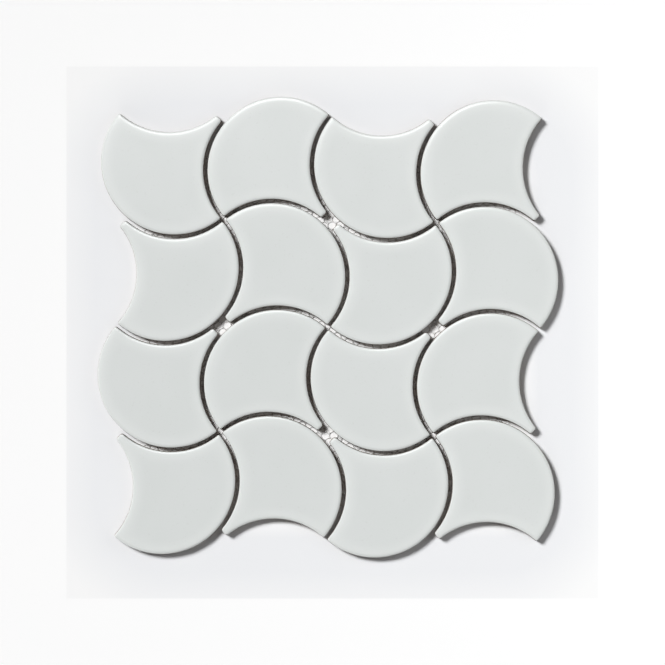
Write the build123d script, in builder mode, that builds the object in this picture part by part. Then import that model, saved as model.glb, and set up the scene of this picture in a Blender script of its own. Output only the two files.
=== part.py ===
from build123d import *
from math import sqrt
import os

# A mosaic sheet of wave tiles: fan-shaped glazed tiles, four rows of four, glued to an open net.
# Each tile has one round back, two hollow flanks of the same radius and one blunt tip, and the
# tips turn a quarter from tile to tile, so that the joints run through the sheet as waves.
# Millimetres. +Z is up, the origin is in the middle of the net's underside, +Y is row 1's side.

# Driving dimensions of one tile
ARC_RADIUS = 48.3      # the round back, and each hollow flank that takes a neighbour's back
TIP_WIDTH = 5.53       # across the neck, where the two flanks come nearest to each other
TIP_CUT = 3.5          # the tip ends this far short of the narrowest line of the neck
CORNER_CUT = 1.2       # taken off each side of the four corners, seen from above
RIM_WIDTH = 1.4        # the rim of the glazed face slopes over this width
RIM_DROP = 0.8         # and falls by this much to the tile's side
TILE_THICKNESS = 6.0

# Driving dimensions of the sheet
ROWS = 4
COLUMNS = 4
JOINT = 2.2            # grout joint between two tiles, at the middle of a flank
CENTRE_SHIFT = 2.4     # each way, from the middle of a tile's cell to the centre of its round back
NET_THICKNESS = 0.4
NET_SETBACK = 3.5      # from the deepest point of the outer flanks in to the cut edge of the net

# Centre of a flank's arc: its two distances from the centre of the round back, along the rows
# and columns of the sheet, and the same point along and across the line of the tip.
FLANK_FAR = (TIP_WIDTH + 2 * ARC_RADIUS) / sqrt(2) - 2 * CENTRE_SHIFT
FLANK_NEAR = 2 * CENTRE_SHIFT
FLANK_ALONG = (FLANK_FAR - FLANK_NEAR) / sqrt(2)
FLANK_ACROSS = (FLANK_FAR + FLANK_NEAR) / sqrt(2)
TIP_END = FLANK_ALONG - TIP_CUT

# Spacing of the tiles, and how far from the middle of the sheet its outer flanks reach in
PITCH = FLANK_FAR + JOINT
FLANK_DEPTH_X = (COLUMNS - 1) / 2 * PITCH + CENTRE_SHIFT + FLANK_FAR - ARC_RADIUS
FLANK_DEPTH_Y = (ROWS - 1) / 2 * PITCH + CENTRE_SHIFT + FLANK_FAR - ARC_RADIUS


def tip_direction(row, column):
    """Signs of X and Y that the tip points to: right in odd rows, up in odd columns."""
    return (1 if row % 2 else -1), (1 if column % 2 else -1)


def tile_plane(row, column):
    """Plane of a tile's back: origin at the centre of its round back, X along its tip."""
    side, rise = tip_direction(row, column)
    x = (column - (COLUMNS + 1) / 2) * PITCH + side * CENTRE_SHIFT
    y = ((ROWS + 1) / 2 - row) * PITCH + rise * CENTRE_SHIFT
    return Plane(origin=(x, y, NET_THICKNESS), x_dir=(side, rise, 0), z_dir=(0, 0, 1))


def wave_tile(plane):
    """One pressed tile: a disc with two bites and a cut-off tip, raised, with a sloping rim."""
    with BuildPart() as tile:
        with BuildSketch(plane) as outline:
            Circle(ARC_RADIUS)
            with Locations((FLANK_ALONG, FLANK_ACROSS), (FLANK_ALONG, -FLANK_ACROSS)):
                Circle(ARC_RADIUS, mode=Mode.SUBTRACT)
            with Locations((TIP_END, 0)):
                Rectangle(ARC_RADIUS, ARC_RADIUS, align=(Align.MIN, Align.CENTER), mode=Mode.SUBTRACT)
            chamfer(outline.vertices(), CORNER_CUT)
        extrude(amount=TILE_THICKNESS)
        face = tile.faces().sort_by(Axis.Z)[-1]
        chamfer(face.edges(), length=RIM_WIDTH, length2=RIM_DROP, reference=face)
    return tile.part


os.makedirs("parts", exist_ok=True)

for row in range(1, ROWS + 1):
    for column in range(1, COLUMNS + 1):
        piece = wave_tile(tile_plane(row, column))
        piece.label = f"tile_row{row}_column{column}"
        export_step(piece, f"parts/{piece.label}.step")

# The net lies under the tiles, cut square so that no edge of it shows in the outer flanks.
# It is an open knitted net, given here as a plain sheet of its thickness.
with BuildPart() as backing_net:
    with BuildSketch():
        Rectangle(2 * (FLANK_DEPTH_X - NET_SETBACK), 2 * (FLANK_DEPTH_Y - NET_SETBACK))
    extrude(amount=NET_THICKNESS)

backing_net.part.label = "backing_net"
export_step(backing_net.part, "parts/backing_net.step")
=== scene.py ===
from math import cos, pi, radians, sin, sqrt

import bpy
import numpy as np
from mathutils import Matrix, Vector


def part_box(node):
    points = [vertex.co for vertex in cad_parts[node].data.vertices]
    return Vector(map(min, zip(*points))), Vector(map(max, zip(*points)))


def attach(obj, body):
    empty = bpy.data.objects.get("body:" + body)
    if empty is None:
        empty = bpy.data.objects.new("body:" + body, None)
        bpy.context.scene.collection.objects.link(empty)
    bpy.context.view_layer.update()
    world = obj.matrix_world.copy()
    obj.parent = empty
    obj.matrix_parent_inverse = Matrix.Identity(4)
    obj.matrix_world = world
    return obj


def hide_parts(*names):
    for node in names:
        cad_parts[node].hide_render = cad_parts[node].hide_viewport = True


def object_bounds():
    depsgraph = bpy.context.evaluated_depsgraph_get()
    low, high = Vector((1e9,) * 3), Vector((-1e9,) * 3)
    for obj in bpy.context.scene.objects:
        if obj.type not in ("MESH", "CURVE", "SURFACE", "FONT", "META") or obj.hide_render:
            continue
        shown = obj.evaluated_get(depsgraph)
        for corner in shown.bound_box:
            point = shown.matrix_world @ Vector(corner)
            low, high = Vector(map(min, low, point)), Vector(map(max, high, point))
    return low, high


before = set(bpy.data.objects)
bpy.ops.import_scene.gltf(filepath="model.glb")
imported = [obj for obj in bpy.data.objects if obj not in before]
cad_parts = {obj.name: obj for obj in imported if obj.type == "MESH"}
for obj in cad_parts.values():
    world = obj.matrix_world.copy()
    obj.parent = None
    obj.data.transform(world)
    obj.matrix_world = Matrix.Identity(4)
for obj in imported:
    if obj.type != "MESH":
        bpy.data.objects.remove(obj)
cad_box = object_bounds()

# Wave mosaic sheet: sixteen glazed fan tiles on an open net, lying flat and seen from straight above.
# Sizes are in millimetres and turned to metres where a mesh is made. The tiles' places come from the frame.
MM = 0.001

# The tile's outline, as the part's source has it
ARC_RADIUS = 48.3
TIP_WIDTH = 5.53
TIP_CUT = 3.5
CENTRE_SHIFT = 2.4
ROWS = 4
COLUMNS = 4
FLANK_FAR = (TIP_WIDTH + 2 * ARC_RADIUS) / sqrt(2) - 2 * CENTRE_SHIFT
FLANK_NEAR = 2 * CENTRE_SHIFT
FLANK_ALONG = (FLANK_FAR - FLANK_NEAR) / sqrt(2)
FLANK_ACROSS = (FLANK_FAR + FLANK_NEAR) / sqrt(2)
TIP_END = FLANK_ALONG - TIP_CUT

# What pressing and glazing give the tile, and the painted shade on its rim
TIP_ROUND = 2.1            # radius of the tip's two corners, seen from above
SHOULDER_ROUND = 1.6       # radius of the corners between the back and the flanks
RIM_FALL = 0.7             # how far the glazed face has fallen where it meets the side
RIM_FADE = 0.75            # the fall is e times smaller for each such distance from the edge
SIDE_FLARE = 0.42          # the sides lean out by this much from the face to the back
ARRIS = 0.3                # the small bevel round the tile's back
GLAZE_LINE = 4.35          # mean height above the back at which the glaze ends on the sides
GLAZE_WANDER = 0.9         # how far that line wanders up and down
GLAZE_SOFT = 0.3           # and how wide it is
BORDER = (2.0, 9.0)        # the glaze is paler near the edge, fading out between these distances from it
BORDER_SHARE = 0.33
RIM_SHADE = (0.3, 2.2)      # and greyer on the rim, painted shade there, fading out between these
RIM_SHADE_SHARE = 0.17

# Sizes of the patterns in the glaze, the body and the net's threads
CLOUD_SIZE = 34.0          # clouding of the glaze's colour and gloss
PEEL_SIZE = 2.6            # slow waves of the glaze's surface
SPECK_SIZE = 1.5
WANDER_SIZE = 7.0          # from one rise of the glaze's lower edge to the next
GRAIN_SIZE = 0.7           # grain of the bare body, drawn coarser than it is
SOAK_SIZE = 9.0            # mottling of the net by glue
FIBRE_SIZE = 0.35          # fibres of the net's threads, drawn coarser than they are

# How finely the tile is drawn
END_POINTS, TIP_POINTS, FLANK_POINTS, SHOULDER_POINTS, BACK_POINTS = 3, 7, 42, 8, 52
EDGE_FINENESS = 24         # times as many points on the outline that distances are taken from

# The net
NET_ROW = (5.34, 0.47)     # from the middle of one hole to the next in its row
NET_SLANT = (2.73, 4.29)   # and to the next row, so the net is pulled a little askew
NET_START = (1.39, 66.77)  # the middle of one hole
NET_HOLE = 0.88            # across a hole, as a share of the step to the next one
NET_REACH = 60             # holes tried each way from that one
CELL_POINTS = 12           # round the edge of a cell: its six corners and the middles of its six sides

# How the photograph was taken
CAMERA_HEIGHT = 2500.0     # above the tiles' faces
FRAME_WIDTH = 434.3        # across the picture, at the tiles' faces
CAMERA_X = 3.0             # where the middle of the picture is on the sheet
CAMERA_Y = -3.4
CAMERA_TURN = 0.95         # degrees
SENSOR = 36.0

# The card that the sheet lies on, with a painted shadow round the sheet, and the floor round it
CARD_HALF = 174.2          # from the middle of the picture to the edge of the grey card
CARD_SOFT = 0.6            # half the width of that edge
SHADOW_CORE_HALF = (108, 105)     # half the square under the sheet that the card's tones are counted from
SHADOW_CORE_SHIFT = (1.0, -3.5)   # from the middle of the picture to the middle of that square
CARD_SHADOW = (12.0, 26.0)   # nearly white up to the first distance from the square, and greyest, a painted shadow, from the second
CARD_SHADOW_FADE = (48.0, 82.0)   # from there the painted shadow fades between these two
FLOOR_HALF = 8000.0

# The lights: azimuths are in degrees from +X, and heights in degrees above the floor
KEY_AZIMUTH = 143.0        # the lamp is to the upper left
KEY_HEIGHT = 47.2
KEY_SPREAD = 17.0          # degrees across the lamp, which softens the shadows' edges
SHEEN_AZIMUTH = 104.0      # a long soft box above the sheet's top edge, seen only as a shine on the glaze
SHEEN_HEIGHT = 58.5
SHEEN_DISTANCE = 1000.0    # from the middle of the sheet
SHEEN_WIDTH = 560.0
SHEEN_DEPTH = 320.0
SHEEN_LEVEL = 16.0         # its brightness, where white is 1
SIDE_AZIMUTH = 4.0         # a square soft box close by on the right
SIDE_HEIGHT = 35.0
SIDE_DISTANCE = 700.0
SIDE_SHARE = 0.075         # the share of the light on the sheet that comes from it
FRONT_AZIMUTH = 248.0      # another, far off and low, beyond the sheet's bottom edge
FRONT_HEIGHT = 22.0
FRONT_DISTANCE = 3000.0
FRONT_SHARE = 0.055
FILL_WIDTH = 0.6           # width of either square box, as a share of its distance
ROOM_LEVEL = 0.12          # brightness of the room's walls, where white is 1
ROOM_WALL = 0.3            # the walls are even up to here, as the sine of the height above the floor
ROOM_DARK = 0.8            # and fade to a dark ceiling here
ROOM_SHARE = ROOM_LEVEL * (ROOM_WALL ** 2 + ROOM_WALL * ROOM_DARK + ROOM_DARK ** 2) / 3


def linear(code):
    """An sRGB hex colour as linear red, green, blue and alpha."""
    part = np.array([int(code[i:i + 2], 16) for i in (1, 3, 5)]) / 255
    part = np.where(part <= 0.04045, part / 12.92, ((part + 0.055) / 1.055) ** 2.4)
    return (*part.tolist(), 1.0)


def heading(line):
    """Angle of a line in the plane, in radians."""
    return np.arctan2(line[1], line[0])


def arc(centre, radius, start, end, count):
    """Points along a circle from one angle to another, and the direction from its centre to each."""
    angle = np.linspace(start, end, count)
    away = np.stack([np.cos(angle), np.sin(angle)], axis=1)
    return centre + radius * away, away


def half_outline(fine):
    """Half of a tile's outline with the tip along +X, from the middle of the tip to the middle of the back.

    Five runs meet in line: the flat end of the tip, its round corner, the hollow flank, the round shoulder and the
    round back. A corner of radius r touches the flank from outside, so its centre is ARC_RADIUS + r from the flank's
    centre. The tip corner's centre is also r short of the tip's end, and the shoulder's is ARC_RADIUS - r from the
    centre of the back. Gives the points and the outward directions, with fine times the usual number of points.
    """
    flank = np.array([FLANK_ALONG, FLANK_ACROSS])
    tip_x = TIP_END - TIP_ROUND
    tip_y = FLANK_ACROSS - sqrt((ARC_RADIUS + TIP_ROUND) ** 2 - (FLANK_ALONG - tip_x) ** 2)
    tip = np.array([tip_x, tip_y])
    far, near, reach = np.hypot(*flank), ARC_RADIUS - SHOULDER_ROUND, ARC_RADIUS + SHOULDER_ROUND
    toward = flank / far
    along = (far ** 2 + near ** 2 - reach ** 2) / (2 * far)
    shoulder = along * toward + sqrt(near ** 2 - along ** 2) * np.array([-toward[1], toward[0]])

    end_y = np.linspace(0, tip_y, END_POINTS * fine)
    end = np.stack([np.full_like(end_y, TIP_END), end_y], axis=1), np.tile([1.0, 0.0], (len(end_y), 1))
    tip_run = arc(tip, TIP_ROUND, 0, heading(flank - tip), TIP_POINTS * fine)
    flank_points, into = arc(flank, ARC_RADIUS, heading(tip - flank), heading(shoulder - flank), FLANK_POINTS * fine)
    shoulder_run = arc(
        shoulder, SHOULDER_ROUND, heading(flank - shoulder), heading(shoulder), SHOULDER_POINTS * fine)
    back_run = arc(np.zeros(2), ARC_RADIUS, heading(shoulder), pi, BACK_POINTS * fine)

    runs = [end, tip_run, (flank_points, -into), shoulder_run, back_run]
    points = np.concatenate([run[0][:-1] for run in runs[:-1]] + [back_run[0]])
    away = np.concatenate([run[1][:-1] for run in runs[:-1]] + [back_run[1]])
    return points, away


def mirrored(half):
    """The whole closed outline from its upper half: the half, and then its mirror image back to the start."""
    return np.concatenate([half, half[-2:0:-1] * [1, -1]])


def edge_distance(points, outline):
    """Distance from each point to the outline, drawn in a little where two edges are near.

    Each short length of outline adds its length over the cube of its distance. Beside a long straight edge that sum is
    2 over the square of the distance, so the root of 2 over the sum is the distance itself, and at a corner or across
    the narrow tip it is smaller, as glaze draws down on both sides of a ridge.
    """
    lengths = np.linalg.norm(np.roll(outline, -1, axis=0) - np.roll(outline, 1, axis=0), axis=1) / 2
    gaps = np.linalg.norm(points[:, None, :] - outline[None, :, :], axis=2)
    return np.sqrt(2 / (lengths / np.maximum(gaps, 1e-6) ** 3).sum(axis=1))


def tile_surface(thickness):
    """One tile as a closed grid: round the outline one way, and from the back over the side to the face the other way.

    A ring is the outline drawn in along its own normals, and past the rim each point runs in a straight line to the
    tile's long axis. The face falls towards the edge by RIM_FALL times e to the power of minus distance / RIM_FADE.
    Gives the points, the quads and the distance of each point from the glazed edge.
    """
    half, away = half_outline(1)
    outline, normals = mirrored(half), mirrored(away)
    fine_outline, fine_normals = (mirrored(run) for run in half_outline(EDGE_FINENESS))
    lip = outline - SIDE_FLARE * normals
    fine_lip = fine_outline - SIDE_FLARE * fine_normals
    lip_height = thickness - RIM_FALL
    # Points of the outline at the first places along the tile run in to the second ones, on the long axis.
    outline_places, axis_places = [-ARC_RADIUS, -4.3, TIP_END], [-26.0, -10.0, TIP_END - 2.8]
    axis_x = np.interp(half[:, 0], outline_places, axis_places)
    axis = mirrored(np.stack([axis_x, np.zeros_like(axis_x)], axis=1))

    # How far the rim's rings lie in from the lip, and what share of the way to the axis the face's rings have gone
    rim_insets = [0.08, 0.2, 0.36, 0.58, 0.85, 1.15]
    face_shares = [0.02, 0.045, 0.08, 0.13, 0.22, 0.4, 0.7, 1.0]
    inner = lip - rim_insets[-1] * normals
    back = [axis, inner + 0.5 * (axis - inner), inner, outline - 2 * ARRIS * normals, outline - ARRIS * normals]
    below_lip = 0.25
    side_heights = [ARRIS, 2 * ARRIS, 0.5 * thickness, lip_height - below_lip]
    face = [lip - inset * normals for inset in rim_insets]
    face += [inner + share * (axis - inner) for share in face_shares]
    gaps = [edge_distance(ring, fine_lip) for ring in face]

    edge = np.zeros(len(outline))
    rings = [(ring, edge, edge) for ring in back]
    rings += [(outline + height / lip_height * (lip - outline), edge + height, edge) for height in side_heights]
    rings += [(lip, edge + lip_height, edge)]
    rings += [(ring, thickness - RIM_FALL * np.exp(-gap / RIM_FADE), gap) for ring, gap in zip(face, gaps)]

    points = np.concatenate([np.column_stack([ring, height]) for ring, height, gap in rings])
    from_edge = np.concatenate([gap for ring, height, gap in rings])
    count, around = len(rings), len(outline)
    column = np.arange(around)
    row = np.arange(count - 1)[:, None] * around
    following = np.roll(column, -1)
    quads = np.stack([row + column, row + following, row + around + following, row + around + column], axis=-1)

    # Both rows that lie on the long axis fold shut, so a point and its mirror image become one.
    keep = np.arange(count * around)
    folded = np.where(column > around // 2, around - column, column)
    keep[:around] = folded
    keep[-around:] = (count - 1) * around + folded
    return points, keep[quads.reshape(-1, 4)], from_edge


def make_mesh(name, points, quads, finish):
    """A smooth mesh object of these points in millimetres, and the numbers of the points that its faces use."""
    used, place = np.unique(quads, return_inverse=True)
    mesh = bpy.data.meshes.new(name)
    mesh.from_pydata((points[used] * MM).tolist(), [], place.reshape(quads.shape).tolist())
    mesh.polygons.foreach_set("use_smooth", np.ones(len(quads), dtype=bool))
    mesh.update()
    piece = bpy.data.objects.new(name, mesh)
    bpy.context.scene.collection.objects.link(piece)
    mesh.materials.append(finish)
    return piece, used


def net_surface(low, high):
    """The net as one closed surface: a honeycomb of cells, each a ring of thread round one hole.

    A cell's outer edge is a hexagon, drawn as its six corners and the middles of its six sides, and is shared with the
    cells beside it. The thread's top and underside slope from that shared ridge to the wall of the hole, a twelve-sided
    one. The even honeycomb, with steps of 1, is then pulled so that its two steps become NET_ROW and NET_SLANT.
    Gives the points, the quads and the thread's own area in the plane, in square millimetres.
    """
    middle, size = (low + high) / 2, high - low
    steps = np.array([NET_ROW, NET_SLANT])
    pull = np.linalg.inv([[1.0, 0.0], [0.5, sqrt(3) / 2]]) @ steps
    turn = np.arange(CELL_POINTS) * 2 * pi / CELL_POINTS
    spoke = np.stack([np.cos(turn), np.sin(turn)], axis=1)
    edge = (np.where(np.arange(CELL_POINTS) % 2, 1 / sqrt(3), 0.5)[:, None] * spoke) @ pull
    wall = (NET_HOLE / 2 * spoke) @ pull

    count = np.arange(-NET_REACH, NET_REACH + 1)
    across, along = (axis.ravel() for axis in np.meshgrid(count, count))
    centres = np.array(NET_START) + np.stack([across, along], axis=1) @ steps
    centres = centres[(np.abs(centres - middle[:2]) < size[:2] / 2 - np.abs(edge).max(axis=0)).all(axis=1)]
    cells = (len(centres), CELL_POINTS)

    # Points of neighbouring cells that fall together to a thousandth of a millimetre become one.
    shared, ids = np.unique(np.round(centres[:, None, :] + edge, 3).reshape(-1, 2), axis=0, return_inverse=True)
    ids = ids.reshape(cells)
    holes = 2 * len(shared) + np.arange(ids.size).reshape(cells)

    nexts, next_holes = np.roll(ids, -1, axis=1), np.roll(holes, -1, axis=1)
    upper = np.stack([ids, nexts, next_holes, holes], axis=-1).reshape(-1, 4)
    lower = np.stack([nexts + len(shared), ids + len(shared), holes, next_holes], axis=-1).reshape(-1, 4)
    sides = np.stack([ids, nexts], axis=-1).reshape(-1, 2)
    _, first, uses = np.unique(np.sort(sides, axis=1), axis=0, return_index=True, return_counts=True)
    border = sides[first[uses == 1]]
    rim = np.stack([border[:, 0] + len(shared), border[:, 1] + len(shared), border[:, 1], border[:, 0]], axis=1)

    flat = np.concatenate([shared, shared, (centres[:, None, :] + wall).reshape(-1, 2)])
    height = np.repeat([high[2], low[2], middle[2]], [len(shared), len(shared), ids.size])
    thread_area = len(centres) * abs(np.linalg.det(pull)) * (sqrt(3) / 2 - 3 * NET_HOLE ** 2 / 4)
    return np.column_stack([flat, height]), np.concatenate([upper, lower, rim]), thread_area


def shader_node(tree, kind, inputs, **settings):
    """Adds one node, gives it its settings, and sets or links each of its inputs."""
    made = tree.nodes.new(kind)
    for setting, value in settings.items():
        setattr(made, setting, value)
    for socket, value in inputs.items():
        if isinstance(value, bpy.types.NodeSocket):
            tree.links.new(value, made.inputs[socket])
        else:
            made.inputs[socket].default_value = value
    return made


def new_finish(name):
    """An empty material and its node tree."""
    finish = bpy.data.materials.new(name)
    finish.use_nodes = True
    finish.node_tree.nodes.clear()
    return finish, finish.node_tree


def per_mm(size):
    """Texture scale, on coordinates in metres, for features of this size in millimetres."""
    return 1 / (size * MM)


def glazed_porcelain(back_height):
    """Pressed porcelain under a smooth pale glaze, fired once.

    The eye sees an even cool white with faint clouding and a few specks, a soft gloss that wavers a little, a paler
    border that fades into the face, a greyer rim that is painted shade, and bare matt body on the back and on the
    sides below the glaze, its brown partly its own colour and partly painted shade that keeps the joints dark.
    """
    finish, tree = new_finish("glazed_porcelain")
    place = shader_node(tree, "ShaderNodeTexCoord", {}).outputs["Object"]
    cloud = shader_node(tree, "ShaderNodeTexNoise", {"Vector": place, "Scale": per_mm(CLOUD_SIZE), "Detail": 3.0})
    peel = shader_node(tree, "ShaderNodeTexNoise", {"Vector": place, "Scale": per_mm(PEEL_SIZE), "Detail": 2.0})
    speck = shader_node(tree, "ShaderNodeTexNoise", {"Vector": place, "Scale": per_mm(SPECK_SIZE), "Detail": 1.0})
    speck_share = shader_node(tree, "ShaderNodeMapRange", {
        "Value": speck.outputs["Fac"], "From Min": 0.66, "From Max": 0.76, "To Min": 0.0, "To Max": 0.12})
    glaze = shader_node(tree, "ShaderNodeMix", {
        "Factor": cloud.outputs["Fac"], "A": linear("#DADEDC"), "B": linear("#DEE1E0")}, data_type="RGBA")
    specked = shader_node(tree, "ShaderNodeMix", {
        "Factor": speck_share.outputs["Result"], "A": glaze.outputs["Result"], "B": linear("#B9B8B2")},
        data_type="RGBA")
    rim = shader_node(tree, "ShaderNodeAttribute", {}, attribute_name="from_edge")
    border = shader_node(tree, "ShaderNodeMapRange", {
        "Value": rim.outputs["Fac"], "From Min": BORDER[0], "From Max": BORDER[1],
        "To Min": BORDER_SHARE, "To Max": 0.0}, interpolation_type="SMOOTHSTEP")
    bordered = shader_node(tree, "ShaderNodeMix", {
        "Factor": border.outputs["Result"], "A": specked.outputs["Result"], "B": linear("#EBEEEC")},
        data_type="RGBA")
    # Painted shade: the rim's colour is mixed towards grey, which dims the lit rims.
    rim_shade = shader_node(tree, "ShaderNodeMapRange", {
        "Value": rim.outputs["Fac"], "From Min": RIM_SHADE[0], "From Max": RIM_SHADE[1],
        "To Min": RIM_SHADE_SHARE, "To Max": 0.0}, interpolation_type="SMOOTHSTEP")
    rim_shaded = shader_node(tree, "ShaderNodeMix", {
        "Factor": rim_shade.outputs["Result"], "A": bordered.outputs["Result"], "B": linear("#AEB2AD")},
        data_type="RGBA")

    wander = shader_node(tree, "ShaderNodeTexNoise", {"Vector": place, "Scale": per_mm(WANDER_SIZE), "Detail": 2.0})
    height = shader_node(tree, "ShaderNodeSeparateXYZ", {"Vector": place})
    line = shader_node(tree, "ShaderNodeMath", {
        0: wander.outputs["Fac"], 1: GLAZE_WANDER * MM, 2: height.outputs["Z"]}, operation="MULTIPLY_ADD")
    line_height = back_height + (GLAZE_LINE + GLAZE_WANDER / 2) * MM
    glazed = shader_node(tree, "ShaderNodeMapRange", {
        "Value": line.outputs["Value"], "From Min": line_height - GLAZE_SOFT / 2 * MM,
        "From Max": line_height + GLAZE_SOFT / 2 * MM})
    grain = shader_node(tree, "ShaderNodeTexNoise", {"Vector": place, "Scale": per_mm(GRAIN_SIZE), "Detail": 3.0})
    # The body's brown is partly its own colour and partly painted shade: it is kept dark so that the joints between the
    # tiles stay dark.
    body = shader_node(tree, "ShaderNodeMix", {
        "Factor": grain.outputs["Fac"], "A": linear("#7E7268"), "B": linear("#918479")}, data_type="RGBA")
    colour = shader_node(tree, "ShaderNodeMix", {
        "Factor": glazed.outputs["Result"], "A": body.outputs["Result"], "B": rim_shaded.outputs["Result"]},
        data_type="RGBA")
    gloss = shader_node(tree, "ShaderNodeMapRange", {
        "Value": cloud.outputs["Fac"], "From Min": 0.3, "From Max": 0.7, "To Min": 0.28, "To Max": 0.34})
    rough = shader_node(tree, "ShaderNodeMix", {
        "Factor": glazed.outputs["Result"], "A": 0.8, "B": gloss.outputs["Result"]}, data_type="FLOAT")
    surface_height = shader_node(tree, "ShaderNodeMix", {
        "Factor": glazed.outputs["Result"], "A": grain.outputs["Fac"], "B": peel.outputs["Fac"]}, data_type="FLOAT")
    bump = shader_node(tree, "ShaderNodeBump", {
        "Height": surface_height.outputs["Result"], "Strength": 0.5, "Distance": 0.012 * MM})
    shader = shader_node(tree, "ShaderNodeBsdfPrincipled", {
        "Base Color": colour.outputs["Result"], "Roughness": rough.outputs["Result"], "Normal": bump.outputs["Normal"],
        "IOR": 1.5})
    shader_node(tree, "ShaderNodeOutputMaterial", {"Surface": shader.outputs["BSDF"]})
    return finish


def knitted_polyester():
    """White polyester net, knitted and stiffened with glue.

    The eye sees grey-white threads with a dull sheen, mottled where the glue has soaked in, and fine fibres along them.
    """
    finish, tree = new_finish("knitted_polyester")
    place = shader_node(tree, "ShaderNodeTexCoord", {}).outputs["Object"]
    soaked = shader_node(tree, "ShaderNodeTexNoise", {"Vector": place, "Scale": per_mm(SOAK_SIZE), "Detail": 2.0})
    fibre = shader_node(tree, "ShaderNodeTexNoise", {"Vector": place, "Scale": per_mm(FIBRE_SIZE), "Detail": 2.0})
    colour = shader_node(tree, "ShaderNodeMix", {
        "Factor": soaked.outputs["Fac"], "A": linear("#DADADA"), "B": linear("#E8E8E6")}, data_type="RGBA")
    bump = shader_node(tree, "ShaderNodeBump", {
        "Height": fibre.outputs["Fac"], "Strength": 0.6, "Distance": 0.06 * MM})
    shader = shader_node(tree, "ShaderNodeBsdfPrincipled", {
        "Base Color": colour.outputs["Result"], "Roughness": 0.6, "Normal": bump.outputs["Normal"], "IOR": 1.5})
    shader_node(tree, "ShaderNodeOutputMaterial", {"Surface": shader.outputs["BSDF"]})
    return finish


def card_with_painted_shadow():
    """Matt card under the sheet, on a white floor.

    The eye sees a square of pale card as large as the photograph's own: nearly white under the sheet, greyest just
    round it in a painted shadow of the sheet, paler again outwards as that shadow fades, and white past its edge.
    """
    finish, tree = new_finish("card_with_painted_shadow")
    place = shader_node(tree, "ShaderNodeTexCoord", {}).outputs["Object"]
    framed = shader_node(tree, "ShaderNodeMapping", {
        "Vector": place, "Location": (CAMERA_X * MM, CAMERA_Y * MM, 0), "Rotation": (0, 0, radians(CAMERA_TURN))},
        vector_type="TEXTURE")
    from_core = shader_node(tree, "ShaderNodeVectorMath", {
        0: framed.outputs["Vector"], 1: (SHADOW_CORE_SHIFT[0] * MM, SHADOW_CORE_SHIFT[1] * MM, 0)}, operation="SUBTRACT")
    spread = shader_node(tree, "ShaderNodeVectorMath", {0: from_core.outputs["Vector"]}, operation="ABSOLUTE")
    beyond = shader_node(tree, "ShaderNodeVectorMath", {
        0: spread.outputs["Vector"], 1: (SHADOW_CORE_HALF[0] * MM, SHADOW_CORE_HALF[1] * MM, 0)}, operation="SUBTRACT")
    outside = shader_node(tree, "ShaderNodeVectorMath", {
        0: beyond.outputs["Vector"], 1: (0, 0, 0)}, operation="MAXIMUM")
    gap = shader_node(tree, "ShaderNodeVectorMath", {0: outside.outputs["Vector"]}, operation="LENGTH")
    # Painted shadow: the card greys in a ring round the sheet and pales again further out.
    shadow_share = shader_node(tree, "ShaderNodeMapRange", {
        "Value": gap.outputs["Value"], "From Min": CARD_SHADOW[0] * MM, "From Max": CARD_SHADOW[1] * MM})
    near = shader_node(tree, "ShaderNodeMix", {
        "Factor": shadow_share.outputs["Result"], "A": linear("#FDFDFD"), "B": linear("#EFF0F2")}, data_type="RGBA")
    shadow_fade_share = shader_node(tree, "ShaderNodeMapRange", {
        "Value": gap.outputs["Value"], "From Min": CARD_SHADOW_FADE[0] * MM, "From Max": CARD_SHADOW_FADE[1] * MM})
    card = shader_node(tree, "ShaderNodeMix", {
        "Factor": shadow_fade_share.outputs["Result"], "A": near.outputs["Result"], "B": linear("#FAFAFA")},
        data_type="RGBA")

    away = shader_node(tree, "ShaderNodeVectorMath", {0: framed.outputs["Vector"]}, operation="ABSOLUTE")
    sides = shader_node(tree, "ShaderNodeSeparateXYZ", {"Vector": away.outputs["Vector"]})
    reach = shader_node(tree, "ShaderNodeMath", {0: sides.outputs["X"], 1: sides.outputs["Y"]}, operation="MAXIMUM")
    edge = shader_node(tree, "ShaderNodeMapRange", {
        "Value": reach.outputs["Value"], "From Min": (CARD_HALF - CARD_SOFT) * MM,
        "From Max": (CARD_HALF + CARD_SOFT) * MM})
    colour = shader_node(tree, "ShaderNodeMix", {
        "Factor": edge.outputs["Result"], "A": card.outputs["Result"], "B": linear("#FFFFFF")}, data_type="RGBA")
    shader = shader_node(tree, "ShaderNodeBsdfPrincipled", {
        "Base Color": colour.outputs["Result"], "Roughness": 0.9, "Specular IOR Level": 0.0})
    shader_node(tree, "ShaderNodeOutputMaterial", {"Surface": shader.outputs["BSDF"]})
    return finish


def lay_tiles():
    """Makes the sixteen tiles in the places of their CAD nodes, the tip of each turned as its row and column say."""
    low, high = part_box("tile_row1_column1")
    glaze = glazed_porcelain(low.z)
    points, quads, from_edge = tile_surface((high.z - low.z) / MM)
    tiles = []
    for row in range(1, ROWS + 1):
        for column in range(1, COLUMNS + 1):
            node = f"tile_row{row}_column{column}"
            low, high = (np.array(corner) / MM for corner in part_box(node))
            side, rise = (1 if row % 2 else -1), (1 if column % 2 else -1)
            centre = [low[0] + ARC_RADIUS if side > 0 else high[0] - ARC_RADIUS,
                      low[1] + ARC_RADIUS if rise > 0 else high[1] - ARC_RADIUS]
            turned = np.column_stack([side * points[:, 0] - rise * points[:, 1],
                                      rise * points[:, 0] + side * points[:, 1]]) / sqrt(2)
            placed = np.column_stack([turned + centre, points[:, 2] + low[2]])
            tile, used = make_mesh(f"glazed_{node}", placed, quads, glaze)
            rim = tile.data.attributes.new("from_edge", "FLOAT", "POINT")
            rim.data.foreach_set("value", from_edge[used].astype(np.float32))
            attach(tile, "root")
            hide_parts(node)
            tiles.append(tile)
    return tiles


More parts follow.
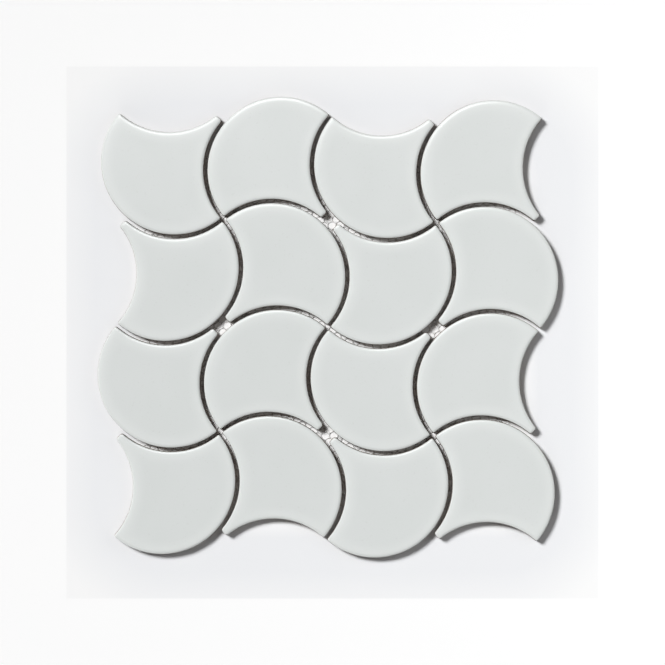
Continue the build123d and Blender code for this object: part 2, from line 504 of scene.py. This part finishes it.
def lay_net(tiles):
    """Makes the net under the tiles, in the place of its CAD node."""
    low, high = (np.array(corner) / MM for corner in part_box("backing_net"))
    points, quads, thread_area = net_surface(low, high)
    net, _ = make_mesh("knitted_net", points, quads, knitted_polyester())
    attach(net, "root")
    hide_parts("backing_net")


def lay_floor():
    """A wide plain floor at the sheet's underside."""
    # The floor's card carries a painted shadow round the sheet.
    corners = FLOOR_HALF * np.array([[-1, -1, 0], [1, -1, 0], [1, 1, 0], [-1, 1, 0]])
    floor, _ = make_mesh("floor", corners, np.array([[0, 1, 2, 3]]), card_with_painted_shadow())


def direction(azimuth, height):
    """Unit vector towards a point of the sky, from degrees counted from +X and degrees above the floor."""
    around, up = radians(azimuth), radians(height)
    return Vector((cos(up) * cos(around), cos(up) * sin(around), sin(up)))


def soft_box(name, azimuth, height, distance, width, depth, level):
    """A rectangular lamp that faces the middle of the sheet, as bright as level times white."""
    light = bpy.data.lights.new(name, "AREA")
    light.shape = "RECTANGLE"
    light.size, light.size_y = width * MM, depth * MM
    light.energy = level * pi * width * depth * MM ** 2
    box = bpy.data.objects.new(name, light)
    box.location = direction(azimuth, height) * distance * MM
    box.rotation_euler = direction(azimuth, height).to_track_quat("Z", "Y").to_euler()
    bpy.context.scene.collection.objects.link(box)
    return box


def fill_box(name, azimuth, height, distance, share):
    """A square soft box that gives the middle of the sheet this share of its light."""
    size = FILL_WIDTH * distance
    level = share * pi / (FILL_WIDTH ** 2 * sin(radians(height)))
    return soft_box(name, azimuth, height, distance, size, size, level)


def set_light():
    """A lamp to the upper left, soft boxes round the sheet and a dim room; together they show white as white."""
    key = bpy.data.lights.new("key", "SUN")
    key.angle = radians(KEY_SPREAD)
    key.energy = (1 - ROOM_SHARE - SIDE_SHARE - FRONT_SHARE) * pi / sin(radians(KEY_HEIGHT))
    lamp = bpy.data.objects.new("key", key)
    lamp.rotation_euler = direction(KEY_AZIMUTH, KEY_HEIGHT).to_track_quat("Z", "Y").to_euler()
    lamp.visible_glossy = False  # the shine on the glaze comes from the soft boxes alone
    bpy.context.scene.collection.objects.link(lamp)

    sheen = soft_box("sheen", SHEEN_AZIMUTH, SHEEN_HEIGHT, SHEEN_DISTANCE, SHEEN_WIDTH, SHEEN_DEPTH, SHEEN_LEVEL)
    sheen.visible_diffuse = False
    fill_box("side", SIDE_AZIMUTH, SIDE_HEIGHT, SIDE_DISTANCE, SIDE_SHARE)
    fill_box("front", FRONT_AZIMUTH, FRONT_HEIGHT, FRONT_DISTANCE, FRONT_SHARE)

    world = bpy.data.worlds.new("studio")
    world.use_nodes = True
    tree = world.node_tree
    tree.nodes.clear()
    around = shader_node(tree, "ShaderNodeTexCoord", {}).outputs["Generated"]
    up = shader_node(tree, "ShaderNodeSeparateXYZ", {"Vector": around})
    level = shader_node(tree, "ShaderNodeMapRange", {
        "Value": up.outputs["Z"], "From Min": ROOM_WALL, "From Max": ROOM_DARK,
        "To Min": ROOM_LEVEL, "To Max": 0.0})
    room = shader_node(tree, "ShaderNodeBackground", {
        "Color": linear("#FFFFFF"), "Strength": level.outputs["Result"]})
    shader_node(tree, "ShaderNodeOutputWorld", {"Surface": room.outputs["Background"]})
    bpy.context.scene.world = world


def set_camera(face_height):
    """A camera with a long lens, looking straight down at the middle of the photograph."""
    lens = bpy.data.cameras.new("camera")
    lens.sensor_width = SENSOR
    lens.lens = SENSOR * CAMERA_HEIGHT / FRAME_WIDTH
    camera = bpy.data.objects.new("camera", lens)
    camera.location = (CAMERA_X * MM, CAMERA_Y * MM, face_height + CAMERA_HEIGHT * MM)
    camera.rotation_euler = (0, 0, radians(CAMERA_TURN))
    bpy.context.scene.collection.objects.link(camera)
    bpy.context.scene.camera = camera


set_camera(cad_box[1].z)
set_light()
lay_floor()
lay_net(lay_tiles())
bpy.context.scene.view_settings.view_transform = "Standard"
